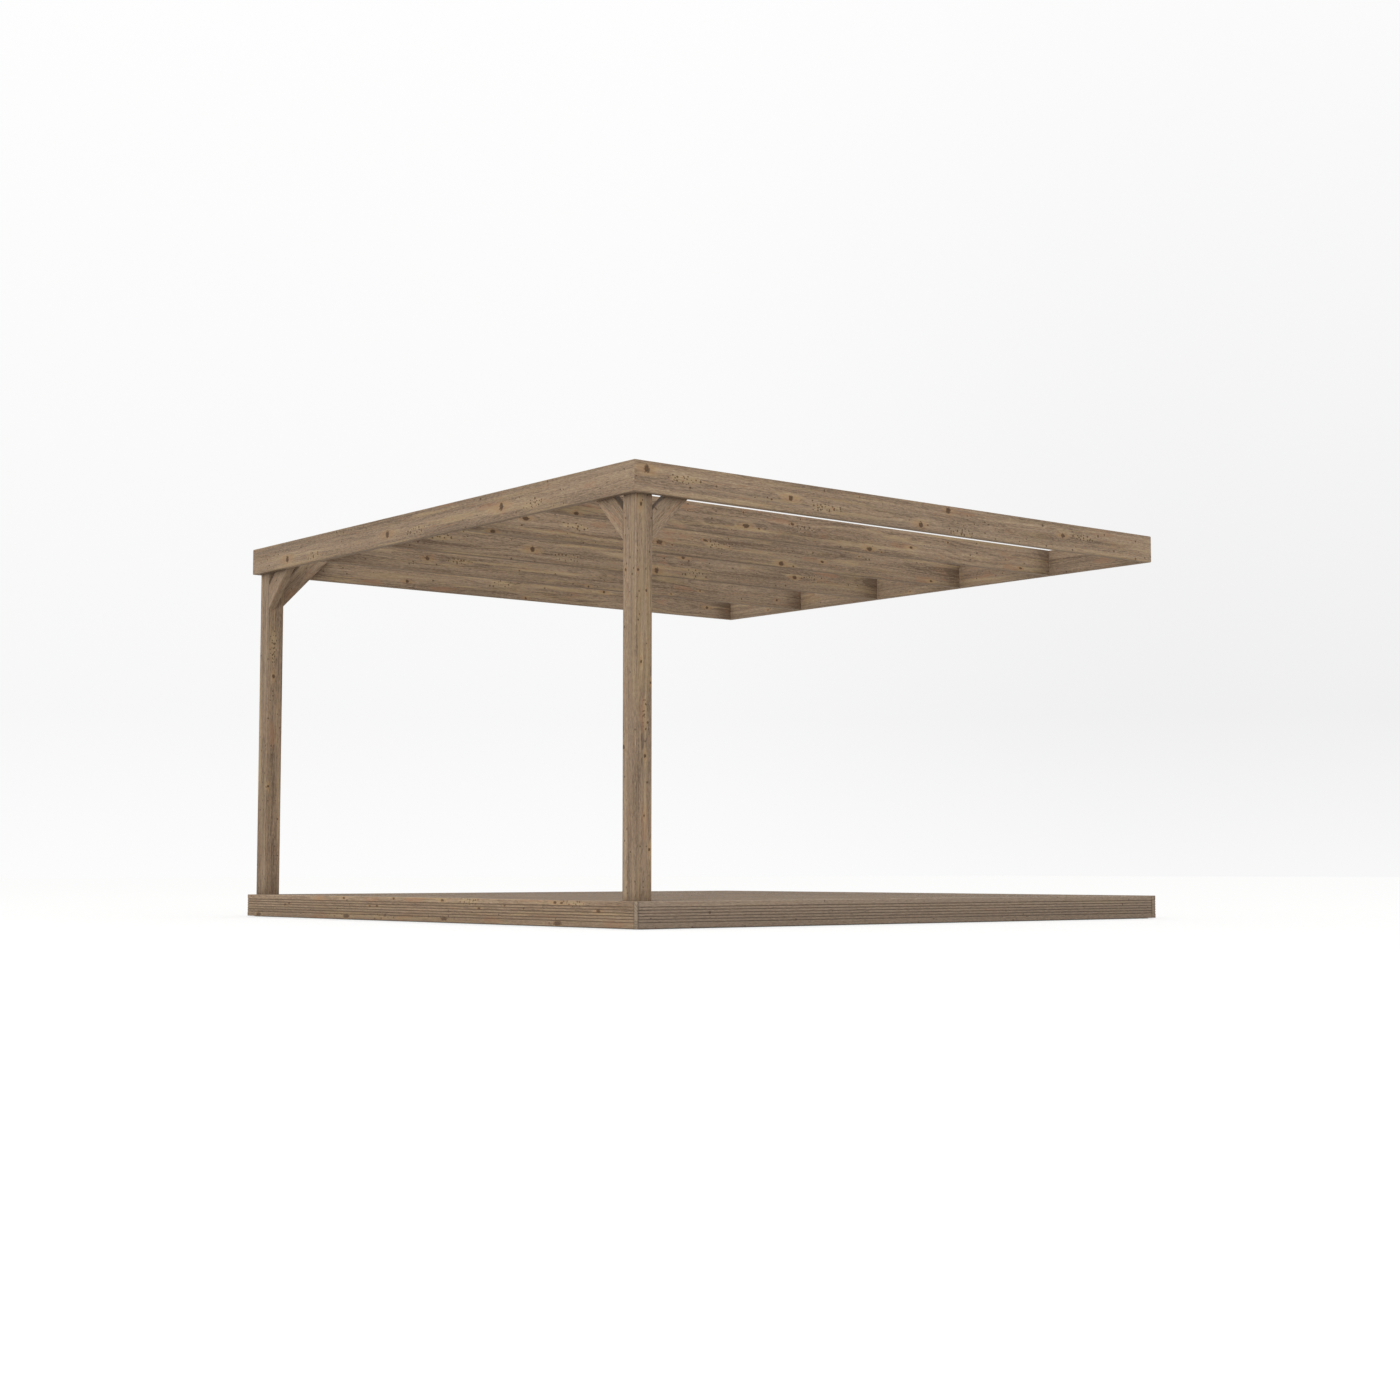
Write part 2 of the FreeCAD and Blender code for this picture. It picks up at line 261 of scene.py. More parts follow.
class Graph:
    """Adds nodes to a tree. A value given to a method is a socket, a number or a tuple."""

    def __init__(self, tree):
        self.tree = tree

    def put(self, socket, value):
        if isinstance(value, bpy.types.NodeSocket):
            self.tree.links.new(value, socket)
        else:
            socket.default_value = value

    def add(self, kind, inputs=(), **settings):
        """A node with its settings; inputs is a list of values, or gives them by name."""
        node = self.tree.nodes.new(kind)
        for name, value in settings.items():
            setattr(node, name, value)
        for name, value in inputs.items() if isinstance(inputs, dict) else enumerate(inputs):
            self.put(node.inputs[name], value)
        return node

    def math(self, operation, *values):
        return self.add("ShaderNodeMath", values, operation=operation).outputs[0]

    def plus(self, first, second):
        return self.math("ADD", first, second)

    def minus(self, first, second):
        return self.math("SUBTRACT", first, second)

    def times(self, first, second):
        return self.math("MULTIPLY", first, second)

    def plus_share(self, total, value, share):
        """total, and value times share on top."""
        return self.math("MULTIPLY_ADD", value, share, total)

    def plus_noise(self, total, noise, share):
        """total, changed up or down by a noise that varies about 0.5."""
        return self.plus_share(total, self.minus(noise, 0.5), share)

    def from_middle(self, value, middle):
        """How far the value is from the middle, on either side."""
        return self.math("ABSOLUTE", self.minus(value, middle))

    def vector(self, operation, *values):
        node = self.add("ShaderNodeVectorMath", values, operation=operation)
        return node.outputs["Value" if operation in ("LENGTH", "DOT_PRODUCT") else "Vector"]

    def join(self, x, y, z):
        return self.add("ShaderNodeCombineXYZ", (x, y, z)).outputs[0]

    def split(self, vector):
        return tuple(self.add("ShaderNodeSeparateXYZ", [vector]).outputs)

    def mapped(self, vector, kind="POINT", **inputs):
        """The vector, scaled, then turned and then moved as the inputs say."""
        inputs["Vector"] = vector
        return self.add("ShaderNodeMapping", inputs, vector_type=kind).outputs[0]

    def ramp(self, kind, *values):
        names = ("Value", "From Min", "From Max", "To Min", "To Max")
        inputs = dict(zip(names, values))
        return self.add("ShaderNodeMapRange", inputs, interpolation_type=kind).outputs["Result"]

    def step(self, value, low, high, start=0.0, end=1.0):
        """start below low, end above high, and a smooth change between."""
        return self.ramp("SMOOTHSTEP", value, low, high, start, end)

    def fade(self, value, low, high):
        """1 below low, 0 above high, and a smooth change between."""
        return self.step(value, low, high, 1.0, 0.0)

    def line(self, value, low, high, start=0.0, end=1.0):
        """start below low, end above high, and a straight change between."""
        return self.ramp("LINEAR", value, low, high, start, end)

    def spread(self, share, start, end):
        """The value that a share from 0 to 1 picks between start and end."""
        return self.line(share, 0.0, 1.0, start, end)

    def mix(self, factor, first, second, blend="MIX"):
        inputs = {0: factor, 6: first, 7: second}
        return self.add("ShaderNodeMix", inputs, data_type="RGBA", blend_type=blend).outputs[2]

    def noise(self, vector, detail=2.0, roughness=0.5):
        """Smooth noise about 0.5, one feature to each unit of the vector."""
        inputs = {"Vector": vector, "Scale": 1.0, "Detail": detail, "Roughness": roughness}
        return self.add("ShaderNodeTexNoise", inputs, noise_dimensions="3D").outputs[0]

    def cells(self, vector):
        """A scatter of points over a plane: the nearest one's place and its random numbers."""
        inputs = {"Vector": vector, "Scale": 1.0}
        node = self.add("ShaderNodeTexVoronoi", inputs, voronoi_dimensions="2D", feature="F1")
        return node.outputs["Position"], node.outputs["Color"]

    def show(self, shader, kind="Material"):
        """Makes a shader the surface of the material or the world."""
        self.add("ShaderNodeOutput" + kind, {"Surface": shader})

    def finish(self, inputs, height, strength, distance):
        """Shows a surface with relief; inputs are those of its shader."""
        relief = {"Strength": strength, "Distance": distance, "Height": height}
        bump = self.add("ShaderNodeBump", relief).outputs[0]
        self.show(self.add("ShaderNodeBsdfPrincipled", {**inputs, "Normal": bump}).outputs[0])


def empty_graph(owner):
    """A graph on a material's or a world's tree, cleared of what Blender puts there."""
    owner.use_nodes = True
    owner.node_tree.nodes.clear()
    return Graph(owner.node_tree)


class Softwood(Graph):
    """The steps that make weathered pine as a solid: rings round a pith, knots that grow from
    it, streaks, fibres and drying cracks. part holds the sockets that later steps use.
    """

    def __init__(self, tree):
        super().__init__(tree)
        self.given = self.add("NodeGroupInput").outputs
        self.place = self.given["Place"]
        self.x, y, z = self.split(self.place)
        self.radius = self.vector("LENGTH", self.join(0.0, y, z))
        self.angle = self.math("ARCTAN2", z, y)
        self.part = {}
        for name, (along, across, start, detail, roughness) in NOISES.items():
            scaled = self.vector("MULTIPLY", self.place, (along, across, across))
            moved = self.vector("ADD", scaled, tuple(start * way for way in START_WAY))
            self.part[name] = self.noise(moved, detail, roughness)

    def mark(self, name):
        """1 where the noise is past its edge, and 0 before it."""
        return self.step(self.part[name], *EDGES[name])

    def stain(self, name, cover):
        """Lays one of the STAINS over the colour so far, in full where cover is 1."""
        stain, share = STAINS[name]
        self.colour = self.mix(self.times(cover, share), self.colour, stain)

    def branches(self, chance, start, spacing, crowding, least, greatest):
        """Branches that grew straight out from the pith, at random along and round it.

        Gives the distance from the nearest one's middle as a share of its radius, the same with
        the grain that bends round it, its radius, and a random number.
        """
        along = self.plus(self.math("DIVIDE", self.x, spacing), start)
        round_pith = self.times(self.angle, crowding)
        spot, chances = self.cells(self.join(along, round_pith, 0.0))
        spot_along, spot_round, _ = self.split(spot)
        present, girth, number = self.split(chances)
        away_x = self.times(self.minus(along, spot_along), spacing)
        turned = self.math("DIVIDE", self.minus(round_pith, spot_round), crowding)
        away_y = self.times(turned, self.radius)
        thinned = self.fade(self.minus(present, chance), 0.0, THINNING)
        size = self.times(self.spread(girth, least, greatest), thinned)
        size = self.math("MAXIMUM", size, NO_BRANCH)
        near, swept = (
            self.vector("LENGTH", self.join(self.times(away_x, share), away_y, 0.0))
            for share in (BRANCH_SHARE, SWEEP_SHARE)
        )
        return self.math("DIVIDE", near, size), self.math("DIVIDE", swept, size), size, number

    def grow_knots(self):
        """Knots, and the small pin knots that lie in clusters between them."""
        given, part = self.given, self.part
        chance = self.spread(given["Knots"], *BRANCH_CHANCES)
        near, swept, size, part["knot_number"] = self.branches(chance, **BRANCHES)
        cluster = self.times(self.mark("cluster"), given["Knots"])
        cluster = self.math("MAXIMUM", cluster, given["Cluster"])
        chance = self.spread(cluster, *TWIG_CHANCES)
        pin_near, pin_swept, pin_size, _ = self.branches(chance, **TWIGS)

        bend = self.math("POWER", self.fade(swept, *PUSH_ENDS), PUSH_POWER)
        placed_bend = self.math("POWER", self.fade(given["Spot Swept"], *PLACED_PUSH_ENDS), PUSH_POWER)
        push = self.plus_share(self.times(self.times(size, PUSH), bend), placed_bend, PLACED_PUSH)
        pin_push = self.times(pin_size, self.fade(pin_swept, *PLACED_PUSH_ENDS))
        part["push"] = self.plus(push, pin_push)

        near = self.math("MINIMUM", near, given["Spot"])
        near = self.plus(near, self.spread(part["rough_edge"], -RAGGEDNESS, RAGGEDNESS))
        swept = self.math("MINIMUM", swept, given["Spot Swept"])
        part["knot_near"] = near
        part["knot"] = self.fade(near, *KNOT_HEART_ENDS)
        part["knot_rim"] = self.times(self.step(near, *KNOT_RIM_STARTS), self.fade(near, *KNOT_RIM_ENDS))
        part["pin"] = self.fade(pin_near, *PIN_KNOT_ENDS)
        part["halo"] = self.fade(swept, *HALO_ENDS)
        glow = self.fade(swept, *GLOW_ENDS)
        part["glow"] = self.math("MAXIMUM", glow, self.times(cluster, CLUSTER_GLOW))

    def grow_rings(self):
        """Growth rings, wandering along the grain and pushed aside by the knots."""
        part = self.part
        place = self.plus(self.radius, self.spread(part["wander"], -RING_WANDER, RING_WANDER))
        place = self.plus(place, self.spread(part["ripple"], -RING_RIPPLE, RING_RIPPLE))
        ring_place = self.plus(place, part["push"])
        uneven = self.noise(self.join(self.times(ring_place, RING_FEATURES), 0.0, 7.0), 1.0)
        rings = self.math("DIVIDE", ring_place, RING_WIDTH)
        phase = self.math("FRACT", self.plus_share(rings, uneven, RING_UNEVENNESS))
        part["late"] = self.times(self.step(phase, *LATEWOOD_STARTS), self.fade(phase, *LATEWOOD_ENDS))
        along, across, round_pith = (
            self.times(place, count) for place, count in zip((self.x, ring_place, self.angle), BANDS)
        )
        part["band"] = self.noise(self.join(along, across, round_pith), 2.5, 0.6)
        for name, (along, across, start, detail, roughness) in RING_NOISES.items():
            place = self.join(self.times(self.x, along), self.times(ring_place, across), start)
            part[name] = self.noise(place, detail, roughness)

    def colour_figure(self):
        """The tone of bands, streaks and fibres, with yellow islands and reddish flushes."""
        given, part = self.given, self.part
        tone = 0.0
        for name, share in BROAD_TONES.items():
            tone = self.plus_noise(tone, part[name], share)
        tone = self.plus_share(tone, part["late"], LATEWOOD_TONE)
        tone = self.times(tone, given["Figure"])
        for name, share in FINE_TONES.items():
            tone = self.plus_noise(tone, part[name], share)
        tone = self.plus(tone, self.plus(given["Lift"], MIDDLE_TONE))

        # Pale yellow islands with torn edges lie round the knots and here and there between them.
        part["island"] = self.plus_share(part["island"], part["glow"], ISLANDS_AT_KNOTS)
        island = self.times(self.mark("island"), given["Figure"])
        tone = self.plus_share(tone, island, ISLAND_TONE)
        ramp = self.add("ShaderNodeValToRGB", [tone])
        scale = ramp.color_ramp.elements
        scale.new(TONE_COLOURS[1][0])
        for stop, (position, colour) in zip(scale, TONE_COLOURS):
            stop.position, stop.color = position, colour
        self.colour = ramp.outputs[0]

        part["red_flush"] = self.plus_share(part["red_flush"], given["Flush"], RED_AT_FLUSHES)
        self.stain("red_flush", self.mark("red_flush"))
        yellow = self.times(self.mark("yellow_flush"), YELLOW_SHARE)
        self.stain("yellow_flush", self.math("MAXIMUM", yellow, island))
        self.stain("red_fleck", self.times(self.mark("red_fleck"), self.spread(island, *FLECK_SHARES)))
        self.stain("silver", self.mark("silver"))

    def colour_knots(self):
        """A dark rim, a brown heart with its own rings, and a warm halo."""
        part = self.part
        self.stain("knot_halo", part["halo"])
        heart_rings = self.math("SINE", self.times(part["knot_near"], HEART_RINGS))
        heart = self.mix(self.line(heart_rings, -1.0, 1.0), KNOT_HEART_DARK, KNOT_HEART_PALE)
        placed = self.step(self.given["Spot"], *PLACED_ENDS, PLACED_STRENGTH, 0.0)
        strength = self.math("MAXIMUM", self.spread(part["knot_number"], *KNOT_STRENGTHS), placed)
        self.colour = self.mix(self.times(part["knot"], strength), self.colour, heart)
        self.stain("knot_rim", part["knot_rim"])
        self.stain("pin_knot", part["pin"])

    def colour_ends(self):
        """Drying cracks, and end grain with rings that stand out and cracks towards the pith."""
        part = self.part
        crack_line = self.fade(self.from_middle(part["thread"], 0.5), *CRACK_ENDS)
        part["crack"] = self.times(crack_line, self.mark("crack_patch"))

        along, _, _ = self.split(self.given["Facing"])
        end = self.step(self.math("ABSOLUTE", along), *END_GRAIN_FACES)
        turned, out = (self.times(place, count) for place, count in zip((self.angle, self.radius), SPOKES))
        spoke = self.fade(self.from_middle(self.noise(self.join(turned, out, 3.0)), 0.5), *SPOKE_ENDS)
        tone = self.plus_share(END_MIDDLE_TONE, part["late"], END_LATEWOOD_TONE)
        tone = self.plus_noise(tone, self.noise(self.vector("MULTIPLY", self.place, PORES), 1.0), PORE_TONE)
        tone = self.plus_share(tone, spoke, SPOKE_TONE)
        end_colour = self.mix(1.0, END_GRAIN, self.join(tone, tone, tone), "MULTIPLY")
        self.colour = self.mix(end, self.colour, end_colour)
        self.stain("crack", self.times(part["crack"], self.minus(1.0, end)))
        part["end_crack"] = self.times(spoke, end)

    def colour_weather_and_shade(self):
        """Worn arrises with a painted highlight, darker grooves with painted shade at edge-board ends,
        painted shade in corners, and each timber's own tone and greyness.
        """
        given, patch = self.given, self.part["patch"]
        _, side, thick = self.split(given["Facing"])
        arris = self.times(self.math("ABSOLUTE", side), self.math("ABSOLUTE", thick))
        # Arrises are worn pale and get a painted highlight.
        worn_lit = self.step(patch, *WORN_LIT_PATCHES, *WORN_LIT)
        self.stain("worn_lit_arris", self.times(self.step(arris, *ARRIS_FACES), worn_lit))
        self.stain("groove_darkening", given["Dirt"])
        # Painted shade within reach of a corner, where the ambient occlusion node sees little open.
        corner = self.add("ShaderNodeAmbientOcclusion", {"Distance": CORNER_REACH}, samples=4)
        grime_and_shade = self.step(corner.outputs["AO"], *CORNER_OPENNESS, CORNER_SHADE_STRENGTH, 0.0)
        grime_and_shade = self.times(grime_and_shade, self.line(patch, *CORNER_SHADE_PATCHES, *PATCH_CORNER_SHADE))
        self.stain("painted_corner_shade", self.times(grime_and_shade, given["Grime"]))
        saturation = self.minus(1.0, given["Grey"])
        shade = {"Saturation": saturation, "Value": given["Tone"], "Color": self.colour}
        self.colour = self.add("ShaderNodeHueSaturation", shade).outputs[0]

    def roughness(self):
        rough = self.line(self.part["fibre"], 0.2, 0.8, *FIBRE_ROUGHNESS)
        for name, change in SMOOTHER.items():
            rough = self.plus_share(rough, self.part[name], change)
        return rough

    def height(self):
        height = 0.0
        for name, metres in RELIEF.items():
            height = self.plus_share(height, self.part[name], metres)
        return height


def softwood_group():
    """The node group that all timbers share. Its inputs are where a point lies in its tree, the
    way the face looks, and what differs from timber to timber.
    """
    tree = bpy.data.node_groups.new("weathered_softwood", "ShaderNodeTree")
    face = tree.interface
    for name in ("Place", "Facing"):
        face.new_socket(name, in_out="INPUT", socket_type="NodeSocketVector")
    usual = {
        "Tone": 1.0, "Grey": 0.0, "Knots": 1.0, "Dirt": 0.0, "Figure": 1.0, "Lift": 0.0,
        "Spot": FAR_AWAY, "Spot Swept": FAR_AWAY, "Cluster": 0.0, "Flush": 0.0, "Grime": 1.0,
    }
    for name, value in usual.items():
        face.new_socket(name, in_out="INPUT", socket_type="NodeSocketFloat").default_value = value
    for name, kind in (("Colour", "Color"), ("Roughness", "Float"), ("Height", "Float")):
        face.new_socket(name, in_out="OUTPUT", socket_type="NodeSocket" + kind)
    wood = Softwood(tree)
    wood.grow_knots()
    wood.grow_rings()
    wood.colour_figure()
    wood.colour_knots()
    wood.colour_ends()
    wood.colour_weather_and_shade()
    wood.add("NodeGroupOutput", [wood.colour, wood.roughness(), wood.height()])
    return tree


SOFTWOOD = softwood_group()


@dataclass
class Face:
    """The marks on a timber's face that looks to the right or to the front.

    A knot is (along, height, radius[, shape]). shape is its length over its height, and the
    face's own one is for all knots that don't give theirs. Clusters of small knots and reddish
    flushes are (along, height).
    """
    side: str
    shape: float
    knots: tuple
    clusters: tuple = ()
    flushes: tuple = ()

    def placed(self, name, spots):
        """The spots in the row frame, each as (x, y, z, radius, shape)."""
        low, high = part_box(name)

        def one(along, height, radius=0.0, shape=self.shape):
            where = (high[0], along, height) if self.side == "right" else (along, low[1], height)
            return (*where, radius, shape)
        return [one(*spot) for spot in spots]


# Marks where the photograph shows them. Some timbers share a pattern.
SIDE_PATTERN = {
    "knots": (
        (-3.531, 0.034, 0.0118, 1.2), (-2.663, -0.005, 0.0120, 1.0), (-1.793, -0.045, 0.0112, 1.1),
        (-1.596, 0.048, 0.0082), (-0.727, 0.005, 0.0094, 1.5), (-0.648, 0.012, 0.0035),
    ),
    "clusters": ((-3.300, 0.010), (-2.440, -0.030), (-1.500, -0.055), (-0.560, 0.010)),
    "flushes": ((-0.411, 0.046), (-1.480, 0.050)),
}
RAFTER_PATTERN = {
    "knots": (
        (-3.402, -0.064, 0.0070), (-3.203, 0.023, 0.0098), (-2.334, -0.016, 0.0098),
        (-2.017, 0.025, 0.0059), (-1.464, -0.054, 0.0086), (-1.153, -0.016, 0.0059),
        (-2.246, -0.022, 0.0031), (-1.375, -0.062, 0.0031), (-0.865, 0.040, 0.0035),
        (-0.277, -0.052, 0.0047),
    ),
    "clusters": ((-1.930, 0.008), (-2.900, 0.010)),
    "flushes": ((-2.120, 0.030), (-1.230, -0.012), (-2.714, 0.036), (-0.330, -0.050)),
}
MARKS = {
    "front_beam": [Face(
        "front", 0.85,
        knots=((-1.393, -0.028, 0.0145), (-0.319, -0.016, 0.0155), (0.741, -0.006, 0.0165)),
        clusters=((-1.090, -0.036), (-0.030, -0.030), (0.990, -0.024)),
        flushes=((0.620, 0.010),),
    )],
    "side_beam_right": [Face("right", 1.8, **SIDE_PATTERN)],
    "rafter_2": [Face("right", 1.6, **SIDE_PATTERN)],
    "rafter_3": [Face("right", 1.9, **RAFTER_PATTERN)],
    "rafter_4": [Face("right", 1.9, **RAFTER_PATTERN)],
    "rafter_1": [Face(
        "right", 1.2,
        knots=((-2.894, 0.004, 0.0098), (-1.754, -0.062, 0.0043), (-0.886, -0.019, 0.0043),
               (-1.119, -0.057, 0.0035), (-0.245, -0.026, 0.0059)),
        clusters=((-2.680, 0.006),),
        flushes=((-1.020, -0.020),),
    )],
    "side_beam_left": [Face(
        "right", 1.2,
        knots=((-2.587, -0.029, 0.0088), (-1.720, -0.062, 0.0060), (-1.106, 0.027, 0.0078),
               (-0.242, -0.008, 0.0078)),
        clusters=((-1.900, 0.010),),
        flushes=((-2.825, -0.050), (-2.350, -0.055)),
    )],
    "wall_plate": [Face(
        "front", 1.2,
        knots=((-0.046, -0.054, 0.0039), (-1.379, -0.044, 0.0043), (0.780, 0.020, 0.0078)),
        clusters=((0.300, 0.010),),
        flushes=((1.500, -0.030),),
    )],
    "post_right": [
        Face("front", 1.3, knots=((1.691, -0.414, 0.0055), (1.679, -1.215, 0.0066))),
        Face(
            "right", 1.3,
            knots=((-3.535, -0.120, 0.0062), (-3.552, -0.421, 0.0047), (-3.504, -0.511, 0.0047),
                   (-3.534, -0.835, 0.0051), (-3.478, -0.926, 0.0039), (-3.510, -1.257, 0.0059),
                   (-3.515, -1.524, 0.0035), (-3.485, -1.675, 0.0047)),
            clusters=((-3.505, -1.080),),
            flushes=((-3.520, -1.080), (-3.510, -1.560)),
        ),
    ],
    "post_left": [Face(
        "right", 1.3,
        knots=((-3.527, -0.664, 0.0078), (-3.550, -1.292, 0.0047)),
        clusters=((-3.530, -0.500),),
        flushes=((-3.530, -1.000),),
    )],
    "edge_board_front": [Face(
        "front", 2.2,
        knots=((-1.658, -2.013, 0.0056, 4.4), (-0.685, -2.009, 0.0062, 4.6),
               (0.267, -2.007, 0.0060, 4.6), (1.233, -2.012, 0.0062, 4.6),
               (-1.353, -1.957, 0.0051), (-1.307, -1.948, 0.0039), (-0.444, -1.953, 0.0047),
               (-0.374, -1.952, 0.0047), (0.580, -1.952, 0.0051), (0.799, -1.935, 0.0039),
               (1.546, -1.951, 0.0066), (-0.712, -1.914, 0.0047), (-0.210, -1.911, 0.0047),
               (0.252, -1.916, 0.0055), (1.212, -1.916, 0.0055), (1.264, -1.917, 0.0047)),
        clusters=((1.350, -1.913), (-0.300, -2.012), (0.500, -1.914)),
        flushes=((0.700, -2.012), (1.650, -2.010), (-1.000, -1.913), (-0.450, -1.913),
                 (0.950, -1.913), (0.000, -1.913), (-0.950, -2.012), (-0.100, -2.012)),
    )],
}

# Tone, greyness, share of knots at random and figure, where they aren't by chance.
LOOKS = {
    "front_beam": (0.975, 0.02, 0.0, 0.65),
    "side_beam_right": (1.03, 0.02, 0.0, 0.70),
    "wall_plate": (1.085, 0.04, 0.0, 0.90),
    "rafter_4": (1.06, 0.02, 0.0, 0.90),
    "rafter_3": (1.02, 0.02, 0.0, 0.90),
    "rafter_2": (0.945, 0.02, 0.0, 0.90),
    "rafter_1": (0.96, 0.02, 0.0, 0.90),
    "side_beam_left": (0.98, 0.02, 0.0, 0.90),
    "post_left": (0.99, 0.02, 0.0, 0.90),
    "post_right": (0.98, 0.02, 0.0, 0.90),
    "brace_right_front": (1.00, 0.02, 0.0, 0.60),
    "brace_right_side": (0.97, 0.02, 0.0, 0.50),
    "brace_left_front": (0.98, 0.02, 0.0, 0.55),
    "brace_left_side": (0.98, 0.02, 0.0, 0.70),
    "edge_board_front": (1.285, 0.02, 0.0, 0.65),
    "edge_board_right": (1.09, 0.16, 0.0, 0.20),
    "edge_board_left": (0.98, 0.12, 0.5, 0.60),
    "edge_board_back": (0.98, 0.12, 0.5, 0.60),
}
DECK_LOOK = (0.86, 0.10, 0.6, 0.90)
USUAL_FIGURE = 0.90
WOOD_GLOSS = 0.28
WOOD_BUMP = 0.85

# Paler or darker stripes along a timber: the direction that is measured, the stripe's middle and
# half width, and what it adds to the tone inside and outside.
STRIPES = {
    "front_beam": [((-0.0135, 0, 1), -0.004, 0.062, 0.095, -0.065)],
    "side_beam_right": [
        ((0, 1, 0), 0.0, 1.2, 0.12, 0.0), ((0, 1, 0), -3.6, 1.0, 0.06, 0.0),
        ((0, 0.0425, 1), -0.110, 0.034, 0.10, -0.03), ((0, 0.0425, 1), -0.003, 0.030, 0.09, 0.0),
        ((0, 0, 1), -0.075, 0.030, -0.08, 0.0), ((0, 0, 1), 0.075, 0.036, -0.09, 0.0),
    ],
    "post_right": [((1, 0, 0), 1.690, 0.034, 0.11, -0.03), ((0, 0, 1), -1.6, 0.6, 0.08, 0.0)],
    # The braces' stripes are painted light and shade: a paler lit edge, and shade near the joints.
    "brace_right_front": [((DIAGONAL, 0, DIAGONAL), 0.990, 0.036, 0.10, -0.05)],
    "brace_right_side": [((0, -DIAGONAL, DIAGONAL), 2.261, 0.016, 0.09, 0.0)],
    "brace_left_front": [((DIAGONAL, 0, -DIAGONAL), -1.005, 0.030, -0.09, 0.02)],
}

# Faces with painted shade, darker than the rest of their timber: the way they look, and the change.
PAINTED_FACE_SHADES = {
    "post_left": ((1, 0, 0), -0.06),
    "post_right": ((1, 0, 0), -0.03),
    "brace_left_front": ((DIAGONAL, 0, -DIAGONAL), -0.06),
}

# Faces with painted shade beside the wall plate: 1 looks right, -1 left, and 0 is for both. Then
# where along Y the painted shade is darkest, how far it reaches, and what it adds to the tone.
WALL_SHADE_SIDES = {
    "rafter_1": 0, "rafter_2": 0, "rafter_3": 0, "rafter_4": 0,
    "side_beam_left": 1, "side_beam_right": -1,
}
WALL_SHADE_MIDDLE = -0.085
WALL_SHADE_REACH = 0.12
WALL_SHADE_TONE = -0.22

# The share of the usual painted shade in a timber's corners, where it isn't all of it.
CORNER_SHADE_SHARES = {
    "wall_plate": 0.40, "rafter_1": 0.80, "rafter_2": 0.80, "rafter_3": 0.78, "rafter_4": 0.98,
}

# The deck boards differ in tone, and come from other places in the tree: so far along it, to
# either side of the pith and higher above it.
BOARD_TONES = (0.93, 1.07)
BOARD_CUT_ALONG = 60.0
BOARD_CUT_ASIDE = 0.03
BOARD_CUT_ABOVE = 0.060

# Depths under a grooved face: where the darkening starts and is full, and where the painted
# shade on the arris at an edge board's end stops.
GROOVE_DARK_DEPTHS = (0.0004, 0.0028)
ARRIS_DEPTHS = (0.0035, 0.0100)

# How far from an edge board's end the painted shade of its corner joint starts and is full, and
# how dark it makes the wood.
END_SHADE_ENDS = (0.0100, 0.0030)
END_SHADE = 1.5

# How far an edge board's grooves reach above and below its middle, each with a painted highlight
# along its lower edge, which looks up.
LIP_HEIGHTS = (0.040, 0.046)
LIP_HIGHLIGHT = 0.30


@dataclass
class Timber:
    """How a node's wood lies in the row frame, where in its tree it grew, and its look.

    grain runs along it and thin through it. from_pith is where its middle lies from the tree's
    pith, across and through the timber, and cut is how far along the tree. look is as in LOOKS.
    """
    name: str
    grain: Vector
    thin: Vector
    centre: Vector
    from_pith: tuple
    cut: float
    look: tuple

    def turn(self):
        """The rotation to (along the grain, across it, through the timber)."""
        return Matrix((self.grain, self.thin.cross(self.grain), self.thin))

    def in_tree(self, point):
        """A point of the row frame as a place in the tree."""
        turn = self.turn()
        return turn @ Vector(point) - turn @ self.centre + Vector((self.cut, *self.from_pith))


def on_ray(graph, place, spot, scale):
    """The place, scaled, turned and moved so that the ray from the pith straight out through the
    spot runs along Y.
    """
    along, across, through = spot
    return graph.mapped(place, Scale=scale, Rotation=(-math.atan2(through, across), 0.0, 0.0),
                        Location=(-along * scale[0], 0.0, 0.0))


def nearest_knot(graph, place, knots, pith_inside):
    """The distance to the nearest of some placed knots, in its radii, and the same with the
    grain that bends round it. A knot's branch runs from the pith straight through its spot.
    """
    near = swept = FAR_AWAY
    for *spot, radius, shape in knots:
        away = on_ray(graph, place, spot, (1 / radius, 1 / radius, 1 / radius))
        if pith_inside:
            # The branch doesn't run on to the far side of the pith.
            _, outward, _ = graph.split(away)
            behind = graph.step(outward, -0.3, 0.3, 30.0, 0.0)
            away = graph.vector("ADD", away, graph.join(0.0, 0.0, behind))
        edge = graph.vector("LENGTH", graph.vector("MULTIPLY", away, (1 / shape, 0.0, 1.0)))
        bent = graph.vector("LENGTH", graph.vector("MULTIPLY", away, (SWEEP_SHARE, 0.0, 1.0)))
        near = graph.math("MINIMUM", edge, near)
        swept = graph.math("MINIMUM", bent, swept)
    return near, swept


def nearest_patch(graph, place, patches, half_length, half_width):
    """1 in the middle of the nearest of some long patches, and 0 at its edge."""
    most = 0.0
    for *spot, _, _ in patches:
        away = on_ray(graph, place, spot, (1 / half_length, 1 / half_width, 1 / half_width))
        off = graph.vector("LENGTH", graph.vector("MULTIPLY", away, (1.0, 0.0, 1.0)))
        most = graph.math("MAXIMUM", graph.fade(off, *PATCH_ENDS), most)
    return most


